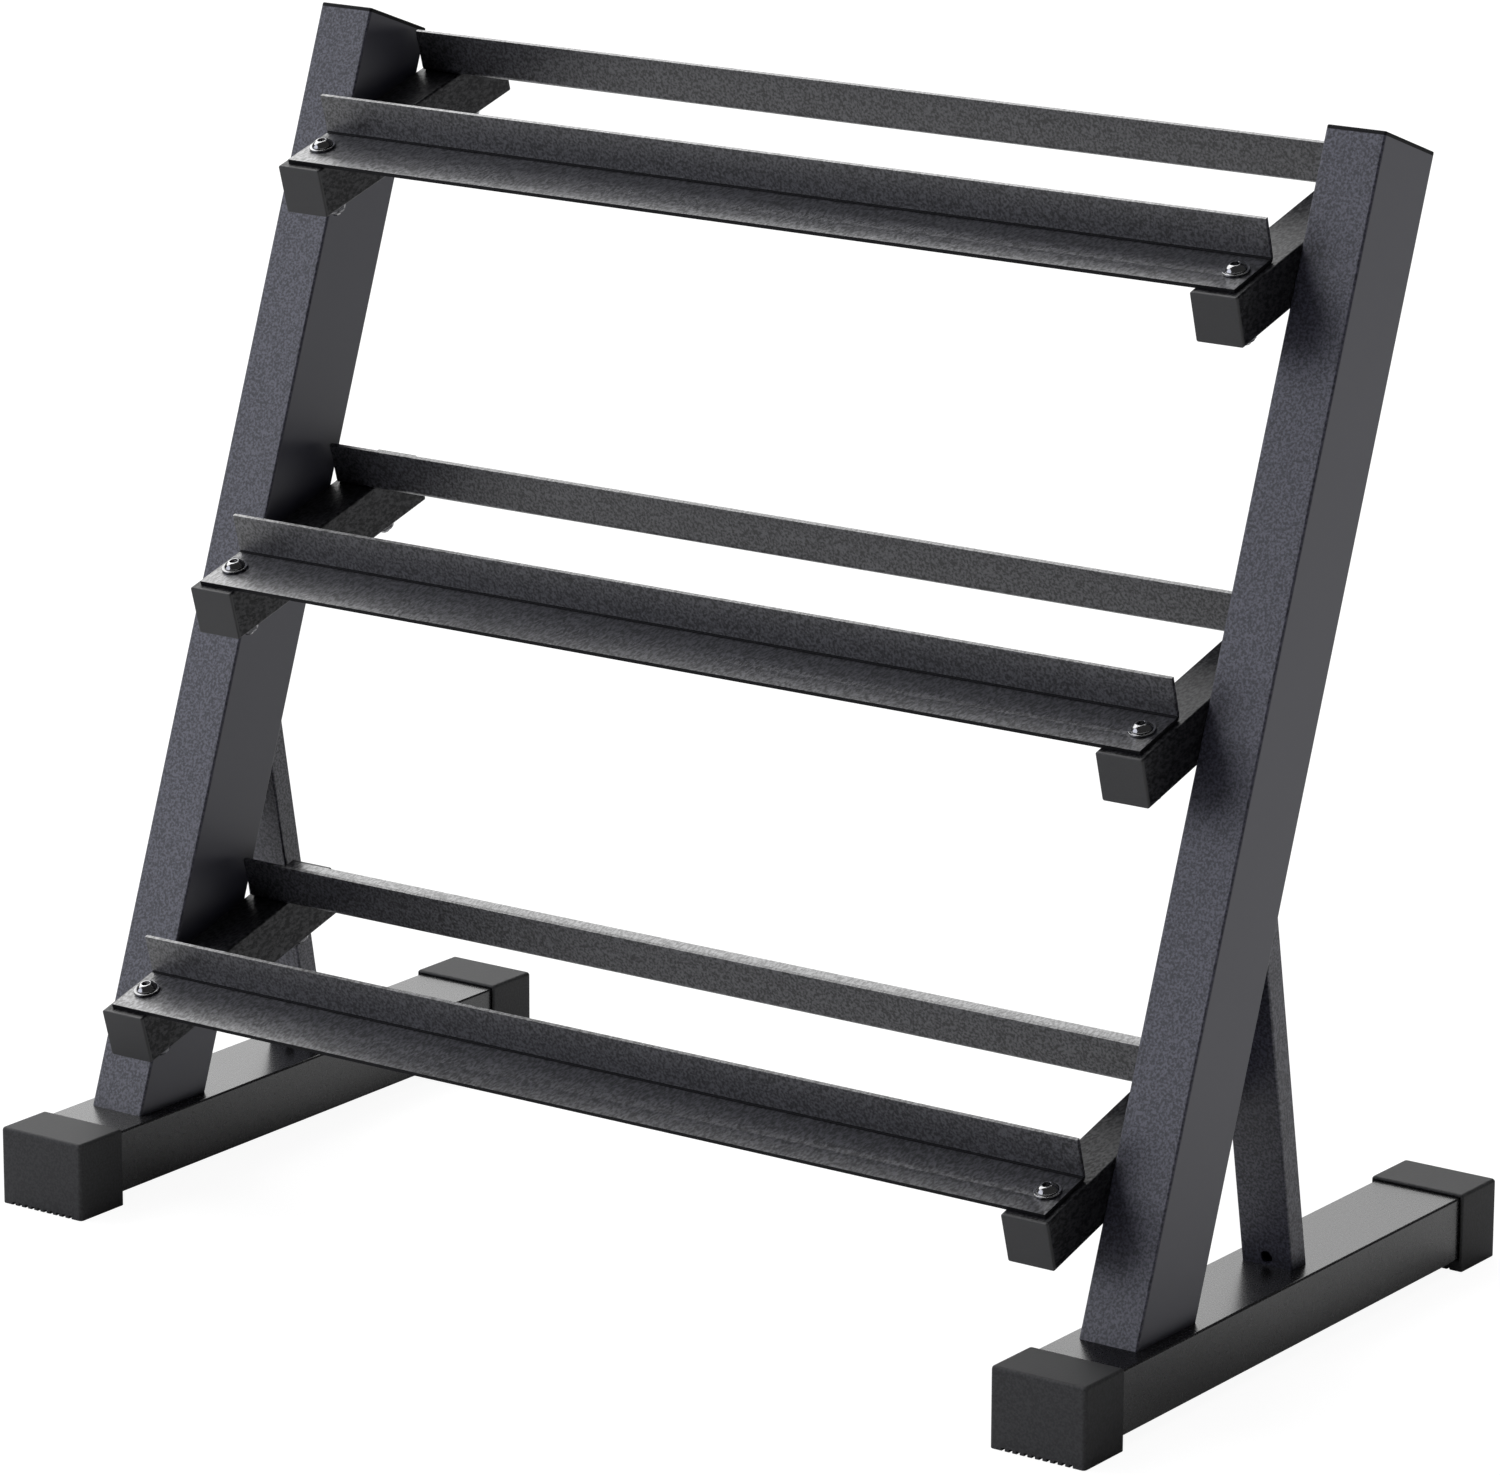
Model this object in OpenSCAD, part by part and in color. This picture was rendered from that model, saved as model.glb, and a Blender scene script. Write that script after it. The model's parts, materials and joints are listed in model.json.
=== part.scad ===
// Three-tier dumbbell rack: two welded side frames joined by six bolted angle rails.
// Frame: +X to the right, +Y to the back, +Z up. The origin is on the floor, under the middle of the rack.

/* [Overall] */
// Distance between the middle planes of the two side frames
frame_spacing = 745; // [450:5:1300]
// Depth from the front of the front boots to the back of the rear boots
overall_depth = 464; // [380:2:640]

/* [Base rails] */
// Width of a base rail, left to right
base_w = 60; // [46:1:80]
// Height of a base rail
base_h = 40; // [30:1:60]
// Wall thickness of the base rails, uprights and braces
tube_wall = 2; // [1.2:0.1:2.5]
// Outer corner radius of the base rails and uprights
tube_corner = 1.5; // [1:0.1:4]

/* [Uprights] */
// Width of an upright, left to right
upright_w = 40; // [30:1:60]
// Depth of an upright, square to its length
upright_d = 60; // [40:1:80]
// Length of an upright along its front face, with its top plug
upright_len = 717; // [560:1:1000]
// Angle by which the uprights lean back
upright_lean = 20; // [10:0.5:26]
// Distance from the front of the boots to the foot of the upright's front face
upright_setback = 73; // [50:1:110]

/* [Rear braces] */
// Width of a brace, left to right
brace_w = 35; // [20:1:40]
// Depth of a brace, square to its length
brace_d = 16; // [12:1:30]
// Angle by which the braces lean forward
brace_lean = 10.4; // [5:0.2:20]
// Distance from the back of the rear boots to the foot of the brace's back face
brace_setback = 200; // [150:1:230]
// Outer corner radius of a brace
brace_corner = 1.3; // [1:0.1:4]
// Diameter of the drain hole in a brace's front face
drain_d = 8; // [4:0.5:9]
// Distance from the foot of the brace's front face to the middle of the drain hole
drain_up = 5.5; // [5:0.5:40]

/* [Arms] */
// Side of the square arm tube
arm_side = 32; // [25:1:45]
// Wall thickness of the arm tube
arm_wall = 2; // [1.2:0.1:2.4]
// Outer corner radius of the arm tube
arm_corner = 1.3; // [1:0.1:4]
// Length of an arm with its two plugs
arm_len = 198; // [170:1:260]
// Angle by which the arms rise towards the back
arm_tilt = 16; // [8:0.5:20]
// How far the arm's front end stands ahead of the upright's front face
arm_reach = 60; // [40:1:75]
// Distance along the upright from its foot to the bottom arm's front end
bottom_arm_up = 62; // [50:1:120]
// Distance along the upright from its top to the top arm's front end
top_arm_down = 115; // [80:1:160]

/* [Shelf rails] */
// Width of a rail's ledge, which lies on the arms
ledge_w = 44; // [34:1:55]
// Height of a rail's lip above the arms
lip_h = 28; // [20:1:45]
// Thickness of the folded sheet
sheet_t = 2.5; // [1.5:0.1:4]
// Inner radius of the fold
fold_r = 1; // [0.5:0.1:4]
// Distance from the end of the arm to the edge of the ledge
ledge_inset = 5.5; // [3:0.5:12]
// Gap between a rail's end and the upright beside it
rail_end_gap = 4.5; // [1:0.5:10]
// Distance from the edge of the ledge to the middle of its bolt holes
bolt_inset = 21.5; // [15:0.5:26]

/* [Fasteners] */
// Nominal diameter of the bolts
bolt_d = 8; // [6:1:8]
// Diameter of the bolt holes in the ledges and arms
bolt_hole_d = 9; // [8.6:0.1:10]
// Diameter of the button head
head_d = 14; // [13:0.1:15]
// Height of the button head
head_h = 4.4; // [3.5:0.1:5]
// Width across the flats of the hex socket
socket_af = 5; // [4:0.5:6]
// Depth of the hex socket
socket_depth = 2.6; // [2:0.1:3]
// Outer diameter of the washers
washer_d = 17; // [16:0.5:20]
// Bore of the washers
washer_bore = 8.4; // [8.2:0.1:9]
// Thickness of a washer
washer_t = 1.6; // [1:0.1:2]
// Width across the flats of the lock nut
nut_af = 13; // [12:0.5:14]
// Height of the nut's hexagon
nut_hex_h = 6.3; // [5:0.1:7]
// Diameter of the hexagon where it meets the collar, inside its chamfer
nut_face_d = 12.7; // [11.5:0.1:13.8]
// Height of the round collar on the nut, which holds the nylon ring
nut_collar_h = 1.7; // [1:0.1:2.5]
// Outer diameter of the collar
nut_collar_d = 11.4; // [10:0.1:12]
// Length of bolt that stands out of the nut
bolt_tip = 2; // [0.5:0.5:5]
// Width of the chamfer at the bolt's tip
bolt_chamfer = 0.9; // [0.3:0.1:1.5]

/* [Boots] */
// Length of a boot, front to back
boot_len = 41; // [30:1:60]
// Wall of a boot at the sides and over the rail
boot_wall = 2.5; // [1.5:0.1:4]
// Wall of a boot over the end of the rail
boot_end_wall = 3; // [2:0.1:5]
// Thickness of a boot under the rail
sole_t = 7.5; // [4:0.5:12]
// Radius of a boot's corners
boot_corner = 2.5; // [2:0.5:5]
// Number of grooves across the sole
groove_count = 10; // [3:1:15]
// Width of a groove
groove_w = 2.4; // [1:0.1:3]
// Depth of a groove
groove_depth = 2; // [0.5:0.1:3]
// Plain border beside the grooves
groove_margin = 9.4; // [6:0.1:12]

/* [Plugs] */
// Thickness of the plate on an upright's top plug
top_plate_t = 2.5; // [1.5:0.1:4]
// Thickness of the plate on an arm plug
arm_plate_t = 2; // [1:0.1:3]
// How far an upright's top plug reaches into the tube
top_skirt = 16; // [10:1:25]
// How far an arm plug reaches into the tube
arm_skirt = 12; // [10:1:14]
// Thickness of a plug's skirt
skirt_t = 1.6; // [1:0.1:2]
// Number of ribs round a skirt
rib_count = 3; // [2:1:4]
// Thickness of a rib
rib_t = 1; // [0.6:0.1:1.2]
// How far a rib stands out of its skirt
rib_h = 0.8; // [0.4:0.1:1]

/* [Fits] */
// Clearance between a push-fitted plastic piece and the tube
push_gap = 0.1; // [0.05:0.05:0.3]
// Clearance between a bolt's thread and its nut
thread_gap = 0.05; // [0.02:0.01:0.1]

/* [Hidden] */
$fn = 64;
tiers = 3;
left = -1;
right = 1;
bottom = 0;
middle = 1;
top = 2;
steel = [0.18, 0.18, 0.19];
rail_steel = [0.16, 0.16, 0.17];
boot_black = [0.11, 0.11, 0.12];
plug_black = [0.12, 0.12, 0.13];
bolt_black = [0.08, 0.08, 0.09];
zinc = [0.55, 0.55, 0.57];

deck_z = sole_t + base_h;
foot_y = upright_setback - overall_depth / 2;
brace_foot_y = overall_depth / 2 - brace_setback;
base_len = overall_depth - 2 * boot_end_wall;
tier_pitch = (upright_len - bottom_arm_up - top_arm_down) / (tiers - 1);
arm_x = (frame_spacing - upright_w - arm_side) / 2;
rail_len = frame_spacing - upright_w - 2 * rail_end_gap;
bolt_front = ledge_inset + bolt_inset;
bolt_back = arm_len - bolt_front;
nut_h = nut_hex_h + nut_collar_h;
shank_len = washer_t + sheet_t + arm_side + washer_t + nut_h + bolt_tip;
reach = 2 * (overall_depth + upright_len);
nut_chamfer = 30;
tight_corner = 0.3;
cut = 1;

// Distance along the upright, from its foot, to the front end of a tier's arms
function arm_up(tier) = bottom_arm_up + tier * tier_pitch;

// The top edge of an arm's front end, in the middle plane of the rack
function arm_start(tier) = [
  0,
  foot_y + arm_up(tier) * sin(upright_lean) - arm_reach * cos(upright_lean),
  deck_z + arm_up(tier) * cos(upright_lean) + arm_reach * sin(upright_lean)
];

// Puts its children in the frame of an upright: Z runs up its front face, from its foot
module on_upright(side) {
  translate([side * frame_spacing / 2, foot_y, deck_z]) rotate([-upright_lean, 0, 0]) children();
}

// Puts its children in the frame of a tier: Y runs back along the top of the arms
module on_tier(tier) {
  translate(arm_start(tier)) rotate([arm_tilt, 0, 0]) children();
}

// The four bolt places of a tier, on top of its arms
module at_tier_bolts(tier) {
  on_tier(tier) {
    for (side = [left, right], along = [bolt_front, bolt_back]) {
      translate([side * arm_x, along, 0]) children();
    }
  }
}

// A rectangle with round corners, centred
module round_rect(w, d, r) {
  square([w - 2 * r, d], center = true);
  square([w, d - 2 * r], center = true);
  for (x = [-1, 1], y = [-1, 1]) {
    translate([x * (w / 2 - r), y * (d / 2 - r)]) circle(r);
  }
}

// The corner radius inside a tube
function bore_corner(r, wall) = max(r - wall, tight_corner);

// The section of a rectangular tube, centred
module tube_section(w, d, r, wall) {
  difference() {
    round_rect(w, d, r);
    round_rect(w - 2 * wall, d - 2 * wall, bore_corner(r, wall));
  }
}

// Removes everything below the top of the base rails
module above_deck() {
  difference() {
    children();
    translate([-reach, -reach, deck_z - 2 * reach]) cube(2 * reach);
  }
}

module base_rail(side) {
  color(steel)
  translate([side * frame_spacing / 2, base_len / 2, sole_t + base_h / 2])
  rotate([90, 0, 0])
  linear_extrude(base_len) tube_section(base_w, base_h, tube_corner, tube_wall);
}

module upright(side) {
  root = upright_d * tan(upright_lean) + cut;
  color(steel)
  above_deck() {
    on_upright(side)
    translate([0, upright_d / 2, -root])
    linear_extrude(upright_len - top_plate_t + root)
    tube_section(upright_w, upright_d, tube_corner, tube_wall);
  }
}

module brace(side) {
  root = brace_d * tan(brace_lean) + cut;
  color(steel)
  difference() {
    above_deck() {
      translate([side * frame_spacing / 2, brace_foot_y, deck_z])
      rotate([brace_lean, 0, 0]) {
        difference() {
          translate([0, -brace_d / 2, -root])
          linear_extrude(upright_len) tube_section(brace_w, brace_d, brace_corner, tube_wall);
          translate([0, -brace_d / 2, brace_d * tan(brace_lean) + drain_up])
          rotate([90, 0, 0])
          cylinder(d = drain_d, h = brace_d);
        }
      }
    }
    on_upright(side) translate([-reach, upright_d - 2 * reach, -reach]) cube(2 * reach);
  }
}

module arm(side, tier) {
  tube_len = arm_len - 2 * arm_plate_t;
  color(steel)
  on_tier(tier)
  difference() {
    translate([side * arm_x, arm_plate_t + tube_len, -arm_side / 2])
    rotate([90, 0, 0])
    linear_extrude(tube_len) tube_section(arm_side, arm_side, arm_corner, arm_wall);
    for (along = [bolt_front, bolt_back]) {
      translate([side * arm_x, along, -arm_side - cut]) cylinder(d = bolt_hole_d, h = arm_side + 2 * cut);
    }
  }
}

// The folded section: the ledge runs from the origin along +X, the lip stands at its far end
module folded_section() {
  outer_r = fold_r + sheet_t;
  square([ledge_w - outer_r, sheet_t]);
  translate([ledge_w - sheet_t, outer_r]) square([sheet_t, lip_h - outer_r]);
  translate([ledge_w - outer_r, outer_r]) {
    intersection() {
      difference() {
        circle(outer_r);
        circle(fold_r);
      }
      translate([0, -outer_r]) square(outer_r);
    }
  }
}

// Leaves its children at the front end of the arms, or mirrors them to the rear end
module at_arm_end(front) {
  if (front) children();
  else translate([0, arm_len, 0]) mirror([0, 1, 0]) children();
}

// A front rail has its ledge ahead of its lip, and a rear rail is its mirror image
module shelf_rail(tier, front) {
  color(rail_steel)
  on_tier(tier)
  at_arm_end(front)
  difference() {
    translate([-rail_len / 2, ledge_inset, 0])
    rotate([90, 0, 90])
    linear_extrude(rail_len) folded_section();
    for (side = [left, right]) {
      translate([side * arm_x, bolt_front, -cut]) cylinder(d = bolt_hole_d, h = sheet_t + 2 * cut);
    }
  }
}

// A boot is drawn at the front of the rack, and a rear boot is turned half round
module boot(side, front) {
  outer_w = base_w + 2 * boot_wall;
  outer_h = sole_t + base_h + boot_wall;
  pocket_w = base_w + 2 * push_gap;
  pocket_h = base_h + push_gap;
  groove_step = (outer_w - 2 * groove_margin) / (groove_count - 1);
  color(boot_black)
  translate([side * frame_spacing / 2, 0, 0])
  rotate([0, 0, front ? 0 : 180])
  translate([0, -overall_depth / 2, 0])
  difference() {
    translate([0, boot_len / 2, 0]) linear_extrude(outer_h) round_rect(outer_w, boot_len, boot_corner);
    translate([-pocket_w / 2, boot_end_wall, sole_t]) cube([pocket_w, boot_len, pocket_h]);
    for (i = [0 : groove_count - 1]) {
      translate([i * groove_step - outer_w / 2 + groove_margin - groove_w / 2, -cut, -cut])
      cube([groove_w, boot_len + 2 * cut, groove_depth + cut]);
    }
  }
}

// A push-in tube plug: its plate lies on Z = 0 and its ribbed skirt reaches down into the tube
module tube_plug(w, d, r, wall, plate_t, skirt) {
  inner_w = w - 2 * wall - 2 * push_gap;
  inner_d = d - 2 * wall - 2 * push_gap;
  skirt_w = inner_w - 2 * rib_h;
  skirt_d = inner_d - 2 * rib_h;
  rib_step = skirt / (rib_count + 1);
  linear_extrude(plate_t) round_rect(w, d, r);
  translate([0, 0, -skirt])
  difference() {
    union() {
      linear_extrude(skirt) square([skirt_w, skirt_d], center = true);
      for (i = [1 : rib_count]) {
        translate([0, 0, i * rib_step - rib_t / 2])
        linear_extrude(rib_t) round_rect(inner_w, inner_d, bore_corner(r, wall));
      }
    }
    translate([0, 0, -cut])
    linear_extrude(skirt + cut) square([skirt_w - 2 * skirt_t, skirt_d - 2 * skirt_t], center = true);
  }
}

module upright_plug(side) {
  color(plug_black)
  on_upright(side)
  translate([0, upright_d / 2, upright_len - top_plate_t])
  tube_plug(upright_w, upright_d, tube_corner, tube_wall, top_plate_t, top_skirt);
}

module arm_plug(side, tier, front) {
  color(plug_black)
  on_tier(tier)
  at_arm_end(front)
  translate([side * arm_x, arm_plate_t, -arm_side / 2])
  rotate([90, 0, 0])
  tube_plug(arm_side, arm_side, arm_corner, arm_wall, arm_plate_t, arm_skirt);
}

module socket_bolt() {
  dome_r = (pow(head_d / 2, 2) + pow(head_h, 2)) / (2 * head_h);
  difference() {
    intersection() {
      translate([0, 0, head_h - dome_r]) sphere(dome_r);
      cylinder(d = head_d + 2 * cut, h = head_h + cut);
    }
    translate([0, 0, head_h - socket_depth])
    cylinder(d = socket_af / cos(30), h = socket_depth + cut, $fn = 6);
  }
  translate([0, 0, bolt_chamfer - shank_len]) cylinder(d = bolt_d, h = shank_len - bolt_chamfer);
  translate([0, 0, -shank_len]) cylinder(d1 = bolt_d - 2 * bolt_chamfer, d2 = bolt_d, h = bolt_chamfer);
}

module tier_bolts(tier) {
  color(bolt_black)
  at_tier_bolts(tier) translate([0, 0, sheet_t + washer_t]) socket_bolt();
}

module washer() {
  difference() {
    cylinder(d = washer_d, h = washer_t);
    translate([0, 0, -cut]) cylinder(d = washer_bore, h = washer_t + 2 * cut);
  }
}

module tier_head_washers(tier) {
  color(bolt_black)
  at_tier_bolts(tier) translate([0, 0, sheet_t]) washer();
}

module tier_nut_washers(tier) {
  color(zinc)
  at_tier_bolts(tier) translate([0, 0, -arm_side - washer_t]) washer();
}

// A lock nut: its hexagon is uppermost, and its round collar faces away from the arm
module lock_nut() {
  corner_d = nut_af / cos(30);
  difference() {
    union() {
      translate([0, 0, -nut_hex_h]) {
        intersection() {
          cylinder(d = corner_d, h = nut_hex_h, $fn = 6);
          cylinder(d1 = nut_face_d, d2 = nut_face_d + 2 * nut_hex_h / tan(nut_chamfer), h = nut_hex_h);
        }
      }
      translate([0, 0, -nut_h]) cylinder(d = nut_collar_d, h = nut_collar_h);
    }
    translate([0, 0, -nut_h - cut]) cylinder(d = bolt_d + 2 * thread_gap, h = nut_h + 2 * cut);
  }
}

module tier_lock_nuts(tier) {
  color(zinc)
  at_tier_bolts(tier) translate([0, 0, -arm_side - washer_t]) lock_nut();
}

base_rail(left);  // left_base_rail
base_rail(right);  // right_base_rail
upright(left);  // left_upright
upright(right);  // right_upright
brace(left);  // left_brace
brace(right);  // right_brace
arm(left, bottom);  // left_bottom_arm
arm(left, middle);  // left_middle_arm
arm(left, top);  // left_top_arm
arm(right, bottom);  // right_bottom_arm
arm(right, middle);  // right_middle_arm
arm(right, top);  // right_top_arm
shelf_rail(bottom, true);  // bottom_front_shelf_rail
shelf_rail(middle, true);  // middle_front_shelf_rail
shelf_rail(top, true);  // top_front_shelf_rail
shelf_rail(bottom, false);  // bottom_rear_shelf_rail
shelf_rail(middle, false);  // middle_rear_shelf_rail
shelf_rail(top, false);  // top_rear_shelf_rail
boot(left, true);  // left_front_boot
boot(left, false);  // left_rear_boot
boot(right, true);  // right_front_boot
boot(right, false);  // right_rear_boot
upright_plug(left);  // left_upright_plug
upright_plug(right);  // right_upright_plug
arm_plug(left, bottom, true);  // left_bottom_arm_front_plug
arm_plug(left, middle, true);  // left_middle_arm_front_plug
arm_plug(left, top, true);  // left_top_arm_front_plug
arm_plug(right, bottom, true);  // right_bottom_arm_front_plug
arm_plug(right, middle, true);  // right_middle_arm_front_plug
arm_plug(right, top, true);  // right_top_arm_front_plug
arm_plug(left, bottom, false);  // left_bottom_arm_rear_plug
arm_plug(left, middle, false);  // left_middle_arm_rear_plug
arm_plug(left, top, false);  // left_top_arm_rear_plug
arm_plug(right, bottom, false);  // right_bottom_arm_rear_plug
arm_plug(right, middle, false);  // right_middle_arm_rear_plug
arm_plug(right, top, false);  // right_top_arm_rear_plug
tier_bolts(bottom);  // bottom_tier_bolts
tier_bolts(middle);  // middle_tier_bolts
tier_bolts(top);  // top_tier_bolts
tier_head_washers(bottom);  // bottom_tier_head_washers
tier_head_washers(middle);  // middle_tier_head_washers
tier_head_washers(top);  // top_tier_head_washers
tier_nut_washers(bottom);  // bottom_tier_nut_washers
tier_nut_washers(middle);  // middle_tier_nut_washers
tier_nut_washers(top);  // top_tier_nut_washers
tier_lock_nuts(bottom);  // bottom_tier_lock_nuts
tier_lock_nuts(middle);  // middle_tier_lock_nuts
tier_lock_nuts(top);  // top_tier_lock_nuts
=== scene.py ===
"""Looks of a three-tier dumbbell rack, built round its CAD frame.

Sizes are in millimetres where they are named, and everything is built in metres.
"""
import json
import math

import bmesh
import bpy
from mathutils import Matrix, Quaternion, Vector


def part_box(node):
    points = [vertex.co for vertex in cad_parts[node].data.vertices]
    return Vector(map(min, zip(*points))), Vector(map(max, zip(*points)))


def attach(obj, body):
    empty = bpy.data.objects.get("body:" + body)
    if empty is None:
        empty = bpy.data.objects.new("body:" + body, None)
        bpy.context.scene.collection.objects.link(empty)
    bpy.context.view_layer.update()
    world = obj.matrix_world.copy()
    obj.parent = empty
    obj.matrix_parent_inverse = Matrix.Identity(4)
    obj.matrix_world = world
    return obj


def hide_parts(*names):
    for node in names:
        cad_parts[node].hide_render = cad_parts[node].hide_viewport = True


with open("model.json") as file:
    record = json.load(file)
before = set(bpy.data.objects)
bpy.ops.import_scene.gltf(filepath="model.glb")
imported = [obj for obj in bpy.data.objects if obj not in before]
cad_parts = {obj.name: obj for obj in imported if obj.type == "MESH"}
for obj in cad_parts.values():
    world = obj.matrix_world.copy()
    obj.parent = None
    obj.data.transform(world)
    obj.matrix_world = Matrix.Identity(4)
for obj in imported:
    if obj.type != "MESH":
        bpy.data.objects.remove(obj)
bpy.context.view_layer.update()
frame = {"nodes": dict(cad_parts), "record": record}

MM = 0.001
SIDES = ("left", "right")
TIERS = ("bottom", "middle", "top")
ENDS = ("front", "rear")
MOUNTS = {mount["name"]: mount for mount in frame["record"]["mounts"]}

# Uprights
UPRIGHT_LEAN = 20
UPRIGHT_LENGTH = 717
UPRIGHT_SECTION = (40, 60)
TUBE_WALL = 2
TUBE_CORNER = 1.5

# Arms
ARM_LENGTH = 198
ARM_SIDE = 32
ARM_CORNER = 1.3

# Shelf rails
LEDGE_WIDTH = 44
LIP_HEIGHT = 28
SHEET = 2.5
FOLD_INSIDE = 1
LEDGE_INSET = 5.5
HOLE_INSET = 21.5
HOLE_WIDTH = 9
RAIL_EDGE = 0.45
FOLD_STEPS = 8
RIM_ANGLE = math.radians(60)
RIM_STEPS = 2
HOLE_STEPS = 32
HOLE_PATCH = 0.75  # half the side of the square opened for a hole, as a share of the hole's width
FLAT = 0.99  # a normal whose Z is at least this faces up or down
EDGE_ON = 0.3  # a sheared edge's normal has less Z than this
SLANT = 0.05  # the normal of a face inside the fold has more -Y and +Z than this

# Bolts
HEAD_WIDTH = 14
HEAD_HEIGHT = 4.4
HEAD_FLAT = 7
HEAD_EDGE = (0.3, 0.25)
DOME_FOOT = 0.5
DOME_STEPS = 9
NECK = 0.35
SOCKET_ACROSS = 5
SOCKET_DEPTH = 2.6
FLARE = 0.35
FLARE_DEPTH = 0.8
FLARE_RISE = 0.12
SHANK_WIDTH = 8
THREAD_PITCH = 1.25
THREAD_DEPTH = 0.6
BOLT_TIP = 2
TIP_CHAMFER = 0.9
TIP_STEP = 0.2
CREST = (0.45, 0.58)  # where the crest of a thread starts and ends, as shares of the pitch

# Washers
WASHER_WIDTH = 17
WASHER_BORE = 8.4
WASHER = 1.6
WASHER_EDGE = 0.35
WASHER_EDGE_STEPS = 3

# Lock nuts and their nylon rings
NUT_ACROSS = 13
NUT_HEX = 6.3
NUT_COLLAR = 1.7
NUT_COLLAR_WIDTH = 11.4
NUT_FACE = 12.7
NUT_BORE = 8.1
NUT_STEPS = 72
NUT_TOP_EDGE = 0.25
NUT_FOOT_EDGE = 0.1
COLLAR_EDGES = ((0, 0.7), (0.2, 0.25), (0.7, 0))  # inset and rise of each step at the end
RECESS = 0.4
RECESS_EDGE = (0.55, 0.2)
RING_EDGE = 0.25
RING_GRIP = 0.02

# Boots
BOOT_END = 3
SOLE = 7.5
BOOT_CORNER = 2.5
BOOT_TOP_EDGE = 2.2
BOOT_MOUTH_EDGE = 1.6
BOOT_SOLE_EDGE = 0.5
MOUTH_CHAMFER = 1.1
RAIL_SECTION = (60, 40)
PUSH_GAP = 0.1
GROOVES = 10
GROOVE_WIDTH = 2.4
GROOVE_DEPTH = 2
GROOVE_MARGIN = 9.4

# Plugs
TOP_PLATE = 2.5
ARM_PLATE = 2
TOP_SKIRT = 16
ARM_SKIRT = 12
PLATE_EDGE = 0.9
SKIRT_WALL = 1.6
RIBS = 3
RIB = 1
RIB_STANDS = 0.8

# All pieces
ROUND_STEPS = 48
CORNER_STEPS = 5
EDGE_STEPS = 3
SHARP_ANGLE = math.radians(38)


# ---- places ----------------------------------------------------------------

def tier_frame(tier):
    """The frame of a tier in millimetres. Y runs back along the top of its arms from their front ends."""
    rest = MOUNTS[f"{tier}_front_lip_rest"]
    up = Vector(rest["axis"]).normalized()
    back = Vector((0, up.z, -up.y))
    lip_middle = LEDGE_INSET + LEDGE_WIDTH - SHEET / 2
    origin = Vector(rest["pos_m"]) - (back * lip_middle + up * LIP_HEIGHT) * MM
    turn = Matrix((Vector((1, 0, 0)), back, up)).transposed().to_4x4()
    return Matrix.Translation(origin) @ turn @ Matrix.Scale(MM, 4)


def end_frame(tier, end):
    """The tier's frame, mirrored at the rear end so that Y runs inwards from the end of the arms."""
    if end == "front":
        return tier_frame(tier)
    flip = Matrix.Diagonal((1, -1, 1, 1))
    return tier_frame(tier) @ Matrix.Translation((0, ARM_LENGTH, 0)) @ flip


def upright_frame(side):
    """The frame of an upright, in millimetres: Z runs up the middle of its front face, from its foot."""
    low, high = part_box(f"{side}_upright")
    foot = Vector(((low.x + high.x) / 2, low.y, low.z))
    lean = Matrix.Rotation(math.radians(-UPRIGHT_LEAN), 4, "X")
    return Matrix.Translation(foot) @ lean @ Matrix.Scale(MM, 4)


def middle_of(node):
    low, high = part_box(node)
    return (low + high) / 2


def bolt_places(tier):
    """Frames of the tier's four bolts, with Z along the bolt and the top of the arm at Z = 0."""
    places = []
    for side in SIDES:
        x = middle_of(f"{side}_{tier}_arm").x / MM
        for end in ENDS:
            spot = Matrix.Translation((x, LEDGE_INSET + HOLE_INSET, 0))
            places.append(end_frame(tier, end) @ spot)
    return places


# ---- mesh helpers ----------------------------------------------------------

def only(kind, geometry):
    return [item for item in geometry if isinstance(item, kind)]


def rounded_plate(width, depth, corner):
    """A bmesh with one flat face in the XY plane, a rectangle with round corners."""
    bm = bmesh.new()
    grid = bmesh.ops.create_grid(bm, x_segments=1, y_segments=1, size=0.5)
    bmesh.ops.scale(bm, vec=(width, depth, 1), verts=grid["verts"])
    bmesh.ops.bevel(
        bm, geom=grid["verts"], offset=corner, offset_type="OFFSET", segments=CORNER_STEPS,
        profile=0.5, affect="VERTICES", material=-1,
    )
    return bm


def push(bm, face, shift, scale=(1, 1, 1)):
    """Extrudes one face of a solid, moves and scales the new face, and returns it."""
    grown = bmesh.ops.extrude_face_region(bm, geom=[face])["geom"]
    if face.is_valid and any(len(edge.link_faces) > 2 for edge in face.edges):
        bmesh.ops.delete(bm, geom=[face], context="FACES_ONLY")
    corners = only(bmesh.types.BMVert, grown)
    bmesh.ops.translate(bm, vec=shift, verts=corners)
    middle = sum((v.co for v in corners), Vector()) / len(corners)
    bmesh.ops.scale(bm, vec=scale, space=Matrix.Translation(-middle), verts=corners)
    return only(bmesh.types.BMFace, grown)[0]


def box(size, middle):
    """A bmesh with one box."""
    bm = bmesh.new()
    bmesh.ops.create_cube(bm, size=1)
    bmesh.ops.scale(bm, vec=size, verts=bm.verts)
    bmesh.ops.translate(bm, vec=middle, verts=bm.verts)
    return bm


def soften(bm, edges, radius, steps=EDGE_STEPS):
    bmesh.ops.bevel(
        bm, geom=edges, offset=radius, offset_type="OFFSET", segments=steps,
        profile=0.5, affect="EDGES", material=-1, clamp_overlap=True,
    )


def edges_where(bm, test):
    """The edges whose two ends both pass the test."""
    return [edge for edge in bm.edges if all(test(vert.co) for vert in edge.verts)]


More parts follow.
